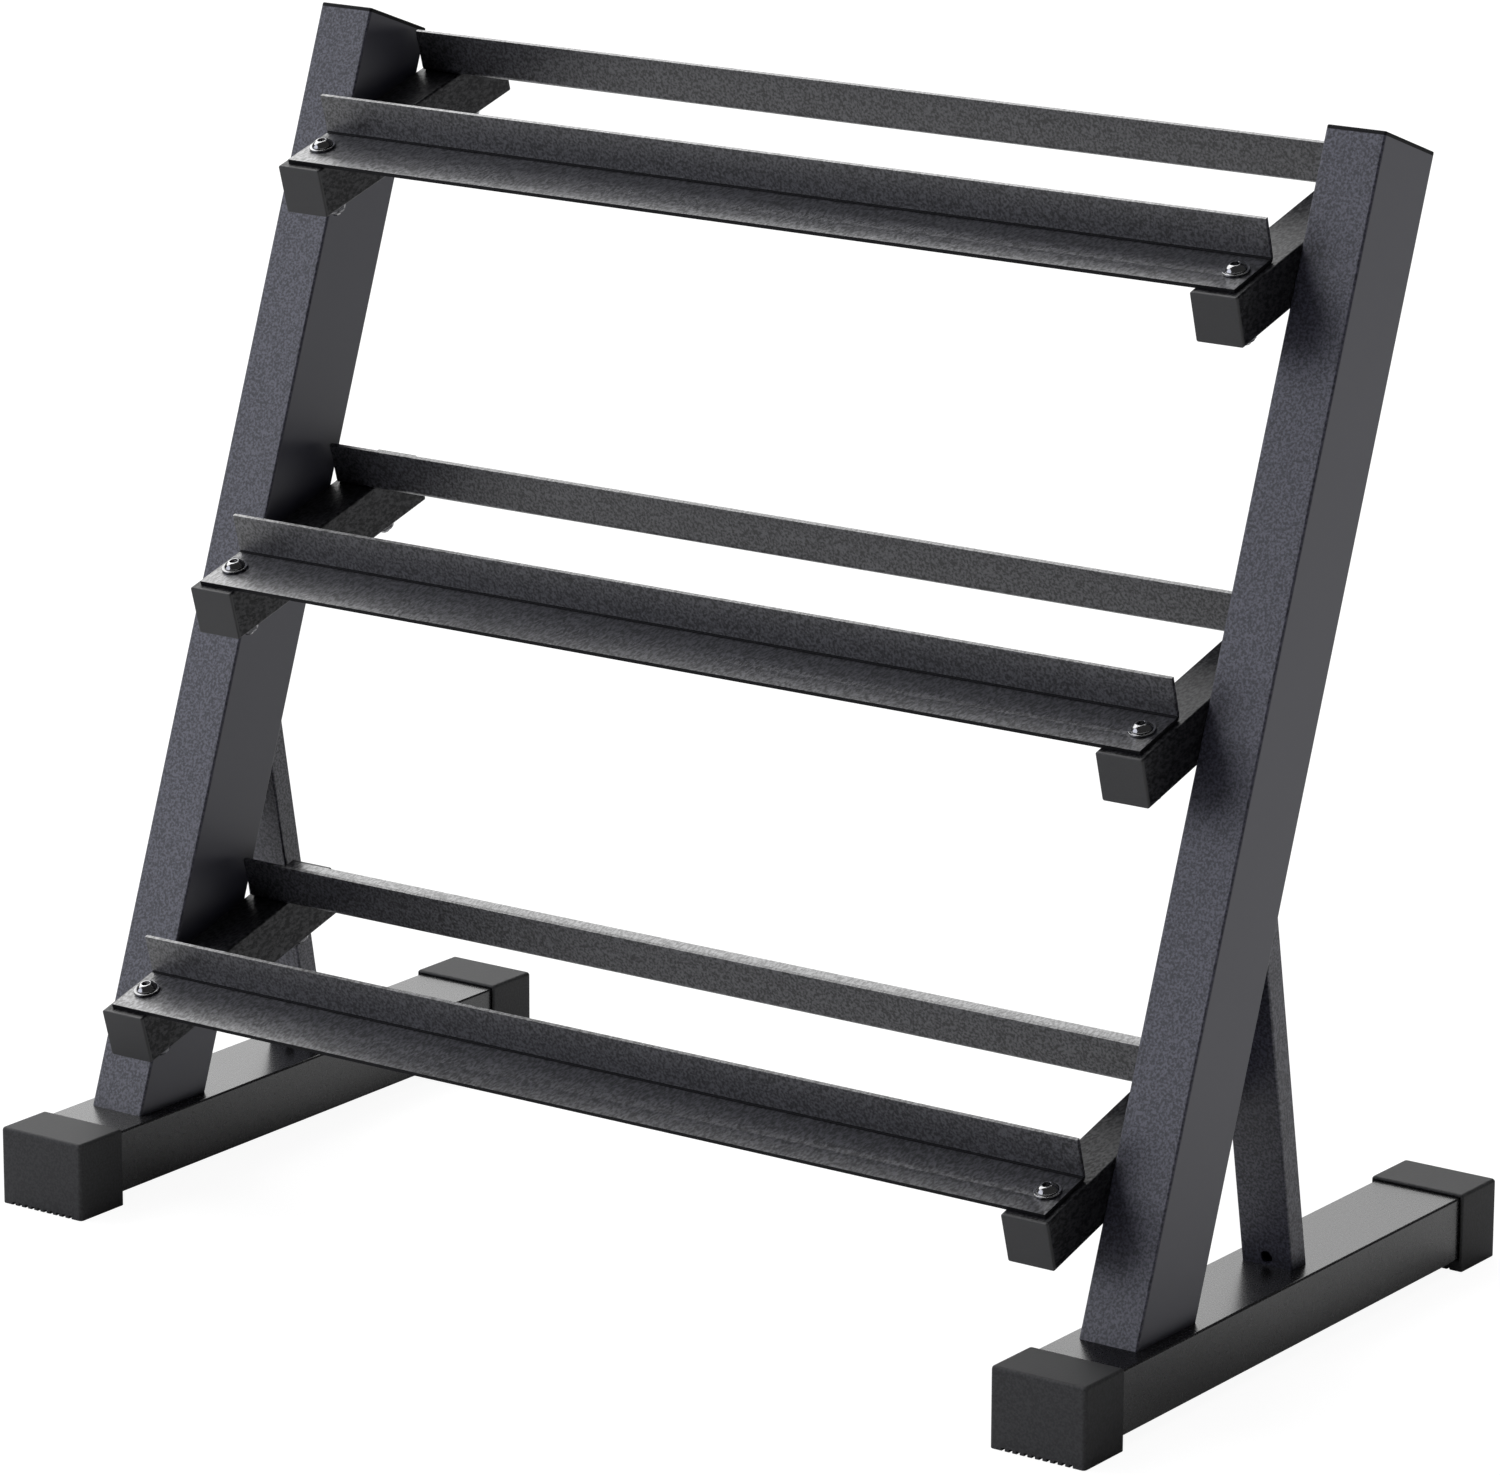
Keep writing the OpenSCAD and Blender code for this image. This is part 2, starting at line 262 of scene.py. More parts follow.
def merged(parts):
    """One bmesh that holds a copy of each (bmesh, place) part."""
    whole = bmesh.new()
    for part, place in parts:
        moved = part.copy()
        bmesh.ops.transform(moved, matrix=place, verts=moved.verts)
        carrier = bpy.data.meshes.new("carrier")
        moved.to_mesh(carrier)
        moved.free()
        whole.from_mesh(carrier)
        bpy.data.meshes.remove(carrier)
    return whole


def cut_away(body, cutter):
    """Returns the body with the cutter taken out of it. Both bmeshes are used up."""
    objects = []
    for bm in (body, cutter):
        bmesh.ops.recalc_face_normals(bm, faces=bm.faces)
        mesh = bpy.data.meshes.new("blank")
        bm.to_mesh(mesh)
        bm.free()
        objects.append(bpy.data.objects.new("blank", mesh))
        bpy.context.scene.collection.objects.link(objects[-1])
    cut = objects[0].modifiers.new("cut", "BOOLEAN")
    cut.operation = "DIFFERENCE"
    cut.solver = "EXACT"
    cut.object = objects[1]
    shown = objects[0].evaluated_get(bpy.context.evaluated_depsgraph_get())
    result = bmesh.new()
    result.from_mesh(shown.data)
    for blank in objects:
        bpy.data.meshes.remove(blank.data)
    return result


def turned(outline, steps=ROUND_STEPS):
    """A closed solid turned about Z from an outline of (radius, height) points."""
    bm = bmesh.new()
    verts = [bm.verts.new((radius, 0, height)) for radius, height in outline]
    edges = [bm.edges.new(pair) for pair in zip(verts, verts[1:])]
    bmesh.ops.spin(
        bm, geom=verts + edges, cent=(0, 0, 0), axis=(0, 0, 1), angle=math.tau, steps=steps,
        use_merge=True, use_duplicate=False,
    )
    bmesh.ops.remove_doubles(bm, verts=bm.verts, dist=1e-5)
    return bm


def add_piece(name, bm, place, materials, nodes):
    """Makes the finished object of a bmesh, which stands for CAD nodes and rides on the rack."""
    bmesh.ops.transform(bm, matrix=place, verts=bm.verts)
    bmesh.ops.recalc_face_normals(bm, faces=bm.faces)
    mesh = bpy.data.meshes.new(name)
    bm.to_mesh(mesh)
    bm.free()
    mesh.shade_smooth()
    mesh.set_sharp_from_angle(angle=SHARP_ANGLE)
    for material in materials:
        mesh.materials.append(material)
    piece = bpy.data.objects.new(name, mesh)
    bpy.context.scene.collection.objects.link(piece)
    even = piece.modifiers.new("even shading", "WEIGHTED_NORMAL")
    even.keep_sharp = True
    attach(piece, "root")
    if nodes:
        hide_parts(*nodes)
    return piece


# ---- shelf rails -----------------------------------------------------------

def cut_sheet_hole(bm, x, y):
    """Opens a round bolt hole in the flat ledge, which lies in the XY plane."""
    half = HOLE_WIDTH * HOLE_PATCH
    for axis, at in ((0, x), (1, y)):
        for side in (-1, 1):
            normal, spot = Vector((0, 0, 0)), Vector((0, 0, 0))
            normal[axis] = 1
            spot[axis] = at + side * half
            ledge = [f for f in bm.faces if abs(f.normal.z) > FLAT]
            parts = set(ledge) | {e for f in ledge for e in f.edges} | {v for f in ledge for v in f.verts}
            bmesh.ops.bisect_plane(bm, geom=list(parts), plane_co=spot, plane_no=normal)
    hole = Vector((x, y, 0))
    patch = [f for f in bm.faces if (f.calc_center_median() - hole).length < half / 2]
    rim = {e for f in patch for e in f.edges}
    bmesh.ops.delete(bm, geom=patch, context="FACES_ONLY")
    ring = bmesh.ops.create_circle(
        bm, cap_ends=False, segments=HOLE_STEPS, radius=HOLE_WIDTH / 2, matrix=Matrix.Translation(hole),
    )
    circle = {e for v in ring["verts"] for e in v.link_edges}
    bmesh.ops.bridge_loops(bm, edges=list(rim | circle))


def shelf_rail(hole_x):
    """A folded rail in the frame of an arm end, with its ledge on Z = 0 and its lip at the inner edge."""
    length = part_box("top_front_shelf_rail")[1].x * 2 / MM
    bm = bmesh.new()
    outer_edge, lip_back = LEDGE_INSET, LEDGE_INSET + LEDGE_WIDTH
    section = ((outer_edge, 0), (lip_back, 0), (lip_back, LIP_HEIGHT))
    path = [bm.verts.new((-length / 2, y, z)) for y, z in section]
    edges = [bm.edges.new(pair) for pair in zip(path, path[1:])]
    swept = bmesh.ops.extrude_edge_only(bm, edges=edges)["geom"]
    bmesh.ops.translate(bm, vec=(length, 0, 0), verts=only(bmesh.types.BMVert, swept))
    fold = edges_where(bm, lambda co: co.z < 1 and co.y > lip_back - 1)
    soften(bm, fold, FOLD_INSIDE + SHEET, FOLD_STEPS)
    for side in (-1, 1):
        cut_sheet_hole(bm, side * hole_x, LEDGE_INSET + HOLE_INSET)
    bmesh.ops.recalc_face_normals(bm, faces=bm.faces)
    if sum(f.normal.z * f.calc_area() for f in bm.faces) > 0:
        bmesh.ops.reverse_faces(bm, faces=bm.faces)
    bmesh.ops.solidify(bm, geom=bm.faces[:], thickness=SHEET)
    rims = [e for e in bm.edges if len(e.link_faces) == 2 and e.calc_face_angle() > RIM_ANGLE]
    soften(bm, rims, RAIL_EDGE, RIM_STEPS)
    mark_edge_and_fold_shade_faces(bm, length / 2, outer_edge, lip_back)
    return bm


def mark_edge_and_fold_shade_faces(bm, end, outer_edge, lip_back):
    """Gives the second material to the ledge's sheared edges, and to the inside of the fold, where it is
    painted shade in the crease.
    """
    for face in bm.faces:
        middle = face.calc_center_median()
        past_end = abs(middle.x) > end - RAIL_EDGE
        on_edge = middle.z < SHEET and (middle.y < outer_edge + RAIL_EDGE or past_end)
        upright = abs(face.normal.z) < EDGE_ON
        slanted = face.normal.y < -SLANT and face.normal.z > SLANT
        fold_shade_zone = middle.y > lip_back - SHEET - FOLD_INSIDE and middle.z < LIP_HEIGHT / 2
        # The fold faces take the dull dark edge finish as painted shade in the crease; the sheared edges
        # keep it as their own finish.
        face.material_index = int(on_edge and upright or slanted and fold_shade_zone)


# ---- plugs -----------------------------------------------------------------

def tube_plug(width, depth, corner, plate, skirt):
    """A push-in plug: its plate lies on Z = 0 and its ribbed skirt reaches down into the tube."""
    bm = rounded_plate(width, depth, corner)
    grown = bmesh.ops.extrude_face_region(bm, geom=bm.faces[:])["geom"]
    bmesh.ops.translate(bm, vec=(0, 0, plate), verts=only(bmesh.types.BMVert, grown))
    soften(bm, edges_where(bm, lambda co: co.z > plate - 1e-4), PLATE_EDGE)
    inner_w = width - 2 * TUBE_WALL - 2 * PUSH_GAP
    inner_d = depth - 2 * TUBE_WALL - 2 * PUSH_GAP
    core_w, core_d = inner_w - 2 * RIB_STANDS, inner_d - 2 * RIB_STANDS
    out = (inner_w / core_w, inner_d / core_d, 1)
    back = (core_w / inner_w, core_d / inner_d, 1)
    under = min(bm.faces, key=lambda f: f.calc_center_median().z)
    face = push(bm, under, (0, 0, 0), (core_w / width, core_d / depth, 1))
    step = skirt / (RIBS + 1)
    for _ in range(RIBS):
        face = push(bm, face, (0, 0, RIB / 2 - step))
        face = push(bm, face, (0, 0, 0), out)
        face = push(bm, face, (0, 0, -RIB))
        face = push(bm, face, (0, 0, 0), back)
        face = push(bm, face, (0, 0, RIB / 2))
    face = push(bm, face, (0, 0, -step))
    wall = (1 - 2 * SKIRT_WALL / core_w, 1 - 2 * SKIRT_WALL / core_d, 1)
    face = push(bm, face, (0, 0, 0), wall)
    push(bm, face, (0, 0, skirt))
    return bm


# ---- fasteners -------------------------------------------------------------

def arc(centre, radius, start, end, steps):
    """Points of (radius, height) on an arc, from one angle to another in degrees."""
    points = []
    for step in range(steps + 1):
        angle = math.radians(start + (end - start) * step / steps)
        points.append((centre[0] + radius * math.cos(angle), centre[1] + radius * math.sin(angle)))
    return points


def bolt():
    """A button-head bolt. The underside of its head is at Z = 0."""
    rim, flat = HEAD_WIDTH / 2, HEAD_FLAT / 2
    dome_radius = (rim ** 2 + HEAD_HEIGHT ** 2) / (2 * HEAD_HEIGHT)
    dome_middle = HEAD_HEIGHT - dome_radius
    length = WASHER + SHEET + ARM_SIDE + WASHER + NUT_HEX + NUT_COLLAR + BOLT_TIP
    shank = SHANK_WIDTH / 2
    tip_radius = shank - TIP_CHAMFER - TIP_STEP
    outline = [(0, -length), (tip_radius, -length), (shank - THREAD_DEPTH, TIP_CHAMFER - length)]
    threads = int((NUT_HEX + NUT_COLLAR + BOLT_TIP) / THREAD_PITCH)
    for turn in range(threads):
        foot = TIP_CHAMFER - length + turn * THREAD_PITCH
        outline += [(shank, foot + THREAD_PITCH * share) for share in CREST]
        outline += [(shank - THREAD_DEPTH, foot + THREAD_PITCH)]
    top_thread = TIP_CHAMFER - length + threads * THREAD_PITCH
    outline += [(shank, top_thread + THREAD_DEPTH), (shank, -NECK), (shank + NECK, 0)]
    low_side = math.degrees(math.asin((DOME_FOOT - dome_middle) / dome_radius))
    high_side = math.degrees(math.acos(flat / dome_radius))
    edge_radius = dome_radius * math.cos(math.radians(low_side))
    outline += [(edge_radius - HEAD_EDGE[0], 0), (edge_radius, HEAD_EDGE[1])]
    outline += arc((0, dome_middle), dome_radius, low_side, high_side, DOME_STEPS)
    flat_height = dome_middle + dome_radius * math.sin(math.radians(high_side))
    outline += [(0, flat_height)]
    body = turned(outline)
    socket = bmesh.new()
    across_corners = SOCKET_ACROSS / math.cos(math.radians(30))
    bmesh.ops.create_cone(
        socket, cap_ends=True, segments=6, radius1=across_corners / 2, radius2=across_corners / 2,
        depth=2 * SOCKET_DEPTH, matrix=Matrix.Translation((0, 0, flat_height)),
    )
    flare = bmesh.new()
    bmesh.ops.create_cone(
        flare, cap_ends=True, segments=ROUND_STEPS, radius1=SOCKET_ACROSS / 2,
        radius2=across_corners / 2 + FLARE, depth=FLARE_DEPTH,
        matrix=Matrix.Translation((0, 0, flat_height + FLARE_RISE)),
    )
    return cut_away(cut_away(body, socket), flare)


def washer():
    """A flat washer that lies on Z = 0, with its upper outer edge rounded."""
    inner, outer, edge = WASHER_BORE / 2, WASHER_WIDTH / 2, WASHER_EDGE
    outline = [(inner, edge / 2), (inner + edge / 2, 0), (outer - edge, 0), (outer, edge)]
    outline += arc((outer - edge, WASHER - edge), edge, 0, 90, WASHER_EDGE_STEPS)
    outline += [(inner + edge / 2, WASHER), (inner, WASHER - edge / 2), (inner, edge / 2)]
    return turned(outline)


def lock_nut():
    """A hexagon lock nut that hangs below Z = 0, with a chamfered end and a round collar."""
    bm = bmesh.new()
    loops = []
    face_radius = NUT_FACE / 2
    slope = math.tan(math.radians(30))
    collar = NUT_COLLAR_WIDTH / 2
    bore, end = NUT_BORE / 2, -NUT_HEX - NUT_COLLAR
    rings = [
        ("round", bore, 0), ("round", face_radius - NUT_TOP_EDGE, 0),
        ("hex", None, "top"), ("hex", None, "bottom"),
        ("round", face_radius - NUT_FOOT_EDGE, -NUT_HEX), ("round", collar, -NUT_HEX),
        *(("round", collar - inset, end + rise) for inset, rise in COLLAR_EDGES),
        ("round", bore + RECESS_EDGE[0], end), ("round", bore + RECESS, end + RECESS_EDGE[1]),
        ("round", bore + RECESS, -NUT_HEX), ("round", bore, -NUT_HEX), ("round", bore, 0),
    ]
    for kind, radius, height in rings:
        made = bmesh.ops.create_circle(bm, cap_ends=False, segments=NUT_STEPS, radius=1)["verts"]
        for vert in made:
            angle = math.atan2(vert.co.y, vert.co.x)
            off = math.radians((math.degrees(angle) + 360) % 60 - 30)
            reach = radius if kind == "round" else NUT_ACROSS / 2 / math.cos(off)
            drop = max(0, reach - face_radius) * slope
            level = {"top": -drop / 2, "bottom": drop - NUT_HEX}.get(height, height)
            vert.co = Vector((reach * math.cos(angle), reach * math.sin(angle), level))
        loops.append(list({e for v in made for e in v.link_edges}))
    for first, second in zip(loops, loops[1:]):
        bmesh.ops.bridge_loops(bm, edges=first + second)
    bmesh.ops.remove_doubles(bm, verts=bm.verts, dist=1e-5)
    return bm


def nylon_ring():
    """The ring inside a lock nut's collar, which grips the thread."""
    inner, outer = SHANK_WIDTH / 2 - RING_GRIP, NUT_BORE / 2 + RECESS - RING_GRIP
    low, high = -NUT_HEX - NUT_COLLAR + RING_EDGE, -NUT_HEX + RING_GRIP
    return turned([
        (inner, high), (outer, high), (outer, low), (inner + RING_EDGE, low), (inner, low + RING_EDGE),
        (inner, high),
    ])


# ---- boots -----------------------------------------------------------------

def boot():
    """A push-on boot for the front of a rail, with its closed end at Y = 0 and its mouth facing +Y."""
    low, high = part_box("left_front_boot")
    width, length, height = (high - low) / MM
    body = box((width, length, height), (0, length / 2, height / 2))
    upright = [e for e in body.edges if abs(e.verts[0].co.z - e.verts[1].co.z) > height / 2]
    soften(body, [e for e in upright if e.verts[0].co.y < 1], BOOT_CORNER, CORNER_STEPS)
    top = edges_where(body, lambda co: co.z > height - 0.01)
    top = [e for e in top if not all(v.co.y > length - 0.01 for v in e.verts)]
    soften(body, top, BOOT_TOP_EDGE, CORNER_STEPS)
    soften(body, edges_where(body, lambda co: co.y > length - 0.01), BOOT_MOUTH_EDGE)
    soften(body, edges_where(body, lambda co: co.z < 0.01), BOOT_SOLE_EDGE)
    rail_w, rail_h = RAIL_SECTION
    pocket_w, pocket_h = rail_w + 2 * PUSH_GAP, rail_h + PUSH_GAP
    pocket_middle = SOLE + pocket_h / 2
    pocket = box((pocket_w, length, pocket_h), (0, BOOT_END + length / 2, pocket_middle))
    body = cut_away(body, pocket)
    flare = box((pocket_w, 2 * MOUTH_CHAMFER, pocket_h), (0, length, pocket_middle))
    outside = [v for v in flare.verts if v.co.y > length]
    wide, tall = 4 * MOUTH_CHAMFER / pocket_w + 1, 4 * MOUTH_CHAMFER / pocket_h + 1
    about_middle = Matrix.Translation((0, 0, -pocket_middle))
    bmesh.ops.scale(flare, vec=(wide, 1, tall), space=about_middle, verts=outside)
    body = cut_away(body, flare)
    first, step = GROOVE_MARGIN - width / 2, (width - 2 * GROOVE_MARGIN) / (GROOVES - 1)
    bar = box((GROOVE_WIDTH, length + 2, 2 * GROOVE_DEPTH), (0, length / 2, 0))
    bars = merged([(bar, Matrix.Translation((first + i * step, 0, 0))) for i in range(GROOVES)])
    bar.free()
    return cut_away(body, bars)


# ---- materials -------------------------------------------------------------

GRAIN_INPUTS = (
    ("Colour", "Color"), ("Speck Colour", "Color"), ("Specks", "Float"), ("Grains per Metre", "Float"),
    ("Roughness", "Float"), ("Roughness Spread", "Float"), ("Cloud Spread", "Float"),
    ("Sheen", "Float"), ("Sheen Spread", "Float"), ("Plain Side Middle", "Float"),
    ("Plain Side Reach", "Float"), ("Spacing", "Vector"),
)
GRAIN_OUTPUTS = (("Colour", "Color"), ("Roughness", "Float"), ("Height", "Float"), ("Sheen", "Float"))
GRAIN_RANGE = (0.38, 0.64)
GRAIN_DETAIL = 1
GRAIN_ROUGHNESS = 0.55
CLOUDS_PER_METRE = 9
CLOUD_DETAIL = 4
CLOUD_RANGE = (0.3, 0.7)
SHEEN_IOR = 1.8


def link(tree, source, slot):
    """Feeds a slot from a socket, or sets it to a plain number."""
    if isinstance(source, (int, float)):
        slot.default_value = source
    else:
        tree.links.new(source, slot)


def calculate(tree, operation, *terms):
    """Adds a sum to a node tree and returns its result."""
    step = tree.nodes.new("ShaderNodeMath")
    step.operation = operation
    for slot, term in zip(step.inputs, terms):
        link(tree, term, slot)
    return step.outputs["Value"]


def stretch(tree, source, limits, low, high):
    """Spreads the values between two limits from low to high."""
    spread = tree.nodes.new("ShaderNodeMapRange")
    spread.inputs["From Min"].default_value, spread.inputs["From Max"].default_value = limits
    link(tree, source, spread.inputs["Value"])
    link(tree, low, spread.inputs["To Min"])
    link(tree, high, spread.inputs["To Max"])
    return spread.outputs["Result"]


def grain_textures(tree, given, place):
    """The level of the grain and the distance from the middle of its lumps."""
    spaced = tree.nodes.new("ShaderNodeVectorMath")
    spaced.operation = "MULTIPLY"
    link(tree, place, spaced.inputs[0])
    link(tree, given["Spacing"], spaced.inputs[1])
    noise = tree.nodes.new("ShaderNodeTexNoise")
    noise.inputs["Detail"].default_value = GRAIN_DETAIL
    noise.inputs["Roughness"].default_value = GRAIN_ROUGHNESS
    lumps = tree.nodes.new("ShaderNodeTexVoronoi")
    lumps.feature = "SMOOTH_F1"
    for texture in (noise, lumps):
        link(tree, spaced.outputs["Vector"], texture.inputs["Vector"])
        link(tree, given["Grains per Metre"], texture.inputs["Scale"])
    return noise.outputs["Fac"], lumps.outputs["Distance"]


def off_plain_sides(tree, given, place):
    """1 where the surface has its grain, and 0 on the plain sides, which lie across X."""
    axes = tree.nodes.new("ShaderNodeSeparateXYZ")
    link(tree, place, axes.inputs["Vector"])
    across = calculate(tree, "ABSOLUTE", axes.outputs["X"])
    from_middle = calculate(tree, "SUBTRACT", across, given["Plain Side Middle"])
    distance = calculate(tree, "ABSOLUTE", from_middle)
    return calculate(tree, "LESS_THAN", distance, given["Plain Side Reach"])


def grain_colour(tree, given, place, swing):
    """The colour with its specks and with broad soft variation."""
    specked = tree.nodes.new("ShaderNodeMix")
    specked.data_type = "RGBA"
    contrast = calculate(tree, "ADD", swing, 0.5)
    link(tree, calculate(tree, "MULTIPLY", contrast, given["Specks"]), specked.inputs["Factor"])
    link(tree, given["Colour"], specked.inputs[6])
    link(tree, given["Speck Colour"], specked.inputs[7])
    cloud = tree.nodes.new("ShaderNodeTexNoise")
    cloud.inputs["Scale"].default_value = CLOUDS_PER_METRE
    cloud.inputs["Detail"].default_value = CLOUD_DETAIL
    link(tree, place, cloud.inputs["Vector"])
    darkest = calculate(tree, "SUBTRACT", 1, given["Cloud Spread"])
    lightest = calculate(tree, "ADD", 1, given["Cloud Spread"])
    tinted = tree.nodes.new("ShaderNodeVectorMath")
    tinted.operation = "SCALE"
    link(tree, specked.outputs[2], tinted.inputs[0])
    shade = stretch(tree, cloud.outputs["Fac"], CLOUD_RANGE, darkest, lightest)
    link(tree, shade, tinted.inputs["Scale"])
    return tinted.outputs["Vector"]


def grain_group():
    """Shader node group: a fine raised grain, its light and dark specks, and broad soft variation."""
    tree = bpy.data.node_groups.new("surface_grain", "ShaderNodeTree")
    for sockets, in_out in ((GRAIN_INPUTS, "INPUT"), (GRAIN_OUTPUTS, "OUTPUT")):
        for name, kind in sockets:
            tree.interface.new_socket(name=name, in_out=in_out, socket_type="NodeSocket" + kind)
    given = tree.nodes.new("NodeGroupInput").outputs
    out = tree.nodes.new("NodeGroupOutput").inputs
    place = tree.nodes.new("ShaderNodeTexCoord").outputs["Object"]
    level, distance = grain_textures(tree, given, place)
    grainy = off_plain_sides(tree, given, place)
    peaks = stretch(tree, level, GRAIN_RANGE, 0, 1)
    swing = calculate(tree, "MULTIPLY", calculate(tree, "SUBTRACT", peaks, 0.5), grainy)
    link(tree, grain_colour(tree, given, place, swing), out["Colour"])
    for name in ("Roughness", "Sheen"):
        varied = calculate(tree, "MULTIPLY_ADD", swing, given[name + " Spread"], given[name])
        link(tree, varied, out[name])
    relief = calculate(tree, "SUBTRACT", level, distance)
    link(tree, calculate(tree, "MULTIPLY", relief, grainy), out["Height"])
    return tree


GRAIN = grain_group()


def finish(name, colour, speck, specks, grains, roughness, spread, bump, cloud=0.04, metallic=0.0,
           specular=0.5, ior=1.5, sheen=0, sheen_spread=0, plain_side=(0, 10), spacing=(1, 1, 1)):
    """A material whose colour, gloss and relief come from the grain group.

    Its bump is in millimetres. Plain sides are given by how far from X = 0 the grainy part has its middle
    and how far the grain reaches from there, both in metres.
    """
    material = bpy.data.materials.new(name)
    material.use_nodes = True
    tree = material.node_tree
    shader = tree.nodes["Principled BSDF"]
    shader.inputs["Metallic"].default_value = metallic
    shader.inputs["Specular IOR Level"].default_value = specular
    shader.inputs["IOR"].default_value = ior
    grain = tree.nodes.new("ShaderNodeGroup")
    grain.node_tree = GRAIN
    grain.inputs["Colour"].default_value = (*colour, 1)
    grain.inputs["Speck Colour"].default_value = (*speck, 1)
    grain.inputs["Specks"].default_value = specks
    grain.inputs["Grains per Metre"].default_value = grains
    grain.inputs["Roughness"].default_value = roughness
    grain.inputs["Roughness Spread"].default_value = spread
    grain.inputs["Cloud Spread"].default_value = cloud
    grain.inputs["Sheen"].default_value = sheen
    grain.inputs["Sheen Spread"].default_value = sheen_spread
    grain.inputs["Plain Side Middle"].default_value = plain_side[0]
    grain.inputs["Plain Side Reach"].default_value = plain_side[1]
    grain.inputs["Spacing"].default_value = spacing
    if sheen:
        shader.inputs["Coat Roughness"].default_value = roughness
        shader.inputs["Coat IOR"].default_value = SHEEN_IOR
        link(tree, grain.outputs["Sheen"], shader.inputs["Coat Weight"])
    relief = tree.nodes.new("ShaderNodeBump")
    relief.inputs["Strength"].default_value = 1
    relief.inputs["Distance"].default_value = bump * MM
    link(tree, grain.outputs["Colour"], shader.inputs["Base Color"])
    link(tree, grain.outputs["Roughness"], shader.inputs["Roughness"])
    link(tree, grain.outputs["Height"], relief.inputs["Height"])
    link(tree, relief.outputs["Normal"], shader.inputs["Normal"])
    return material


PLAIN_SIDE_DEPTH = 0.2
UPRIGHT_SIDES = (middle_of("right_upright").x, (UPRIGHT_SECTION[0] / 2 - PLAIN_SIDE_DEPTH) * MM)
FRAME_PAINT = finish(
    "frame_powder_coat", colour=(0.018, 0.018, 0.026), speck=(0.044, 0.044, 0.072), specks=1,
    grains=640, roughness=0.46, spread=0.1, bump=0.14, cloud=0.05, specular=0.36,
    sheen=0.55, sheen_spread=0.55, plain_side=UPRIGHT_SIDES,
)
ARM_PAINT = finish(
    "arm_powder_coat", colour=(0.006, 0.006, 0.007), speck=(0.018, 0.018, 0.021), specks=1,
    grains=560, roughness=0.36, spread=0.1, bump=0.12, cloud=0.05, specular=0.14,
    sheen=0.12, sheen_spread=0.24, spacing=(1, 0.55, 1),
)
BASE_PAINT = finish(
    "base_rail_satin_coat", colour=(0.011, 0.011, 0.012), speck=(0.012, 0.012, 0.013), specks=1,
    grains=600, roughness=0.27, spread=0.01, bump=0.002, specular=0.8, ior=1.55,
)
SHELF_PAINT = finish(
    "shelf_rail_grain_coat", colour=(0.003, 0.003, 0.004), speck=(0.026, 0.026, 0.036), specks=1,
    grains=580, roughness=0.38, spread=0.1, bump=0.16, cloud=0.05, specular=0.6,
    sheen=0.76, sheen_spread=0.85, spacing=(1, 0.45, 1),
)
# A dull dark finish for the ledge's sheared edges, also used inside the fold as painted shade.
SHEARED_EDGE_AND_FOLD_SHADE = finish(
    "sheared_edge_and_fold_shade_coat", colour=(0.004, 0.004, 0.005), speck=(0.010, 0.010, 0.012), specks=1,
    grains=900, roughness=0.6, spread=0.1, bump=0.05, specular=0.15,
)
BOOT_PLASTIC = finish(
    "boot_plastic", colour=(0.042, 0.042, 0.043), speck=(0.060, 0.060, 0.062), specks=1,
    grains=700, roughness=0.55, spread=0.1, bump=0.05, specular=0.17,
)
PLUG_PLASTIC = finish(
    "arm_plug_plastic", colour=(0.040, 0.040, 0.041), speck=(0.046, 0.046, 0.048), specks=1,
    grains=1200, roughness=0.5, spread=0.06, bump=0.015, specular=0.39,
)
TOP_PLUG_PLASTIC = finish(
    "top_plug_plastic", colour=(0.006, 0.006, 0.007), speck=(0.010, 0.010, 0.011), specks=1,
    grains=1200, roughness=0.55, spread=0.06, bump=0.015, specular=0.15,
)
BLACK_CHROME = finish(
    "black_chrome", colour=(0.34, 0.34, 0.345), speck=(0.28, 0.28, 0.285), specks=0.5,
    grains=500, roughness=0.13, spread=0.04, bump=0.002, metallic=1.0,
)
ZINC = finish(
    "bright_zinc", colour=(0.86, 0.86, 0.87), speck=(0.74, 0.74, 0.76), specks=0.6,
    grains=700, roughness=0.2, spread=0.08, bump=0.004, metallic=1.0,
)
NUT_ZINC = finish(
    "dark_zinc", colour=(0.24, 0.24, 0.25), speck=(0.18, 0.18, 0.19), specks=0.6,
    grains=700, roughness=0.22, spread=0.08, bump=0.004, metallic=1.0,
)
NYLON = finish(
    "nut_nylon", colour=(0.30, 0.31, 0.33), speck=(0.36, 0.37, 0.39), specks=0.5,
    grains=900, roughness=0.45, spread=0.05, bump=0.01,
)


def paint_nodes(material, names):
    """Gives CAD nodes that stay in view their finish."""
    for name in names:
        mesh = frame["nodes"][name].data
        mesh.materials.clear()
        mesh.materials.append(material)


# ---- assembly --------------------------------------------------------------

paint_nodes(BASE_PAINT, [f"{side}_base_rail" for side in SIDES])
paint_nodes(FRAME_PAINT, [f"{side}_{part}" for side in SIDES for part in ("upright", "brace")])
paint_nodes(ARM_PAINT, [f"{side}_{tier}_arm" for side in SIDES for tier in TIERS])

arm_x = middle_of("right_top_arm").x / MM
rail_shape = shelf_rail(arm_x)
for tier in TIERS:
    for end in ENDS:
        name = f"{tier}_{end}_shelf_rail"
        add_piece(
            "folded_" + name, rail_shape.copy(), end_frame(tier, end), [SHELF_PAINT, SHEARED_EDGE_AND_FOLD_SHADE],
            [name],
        )
rail_shape.free()

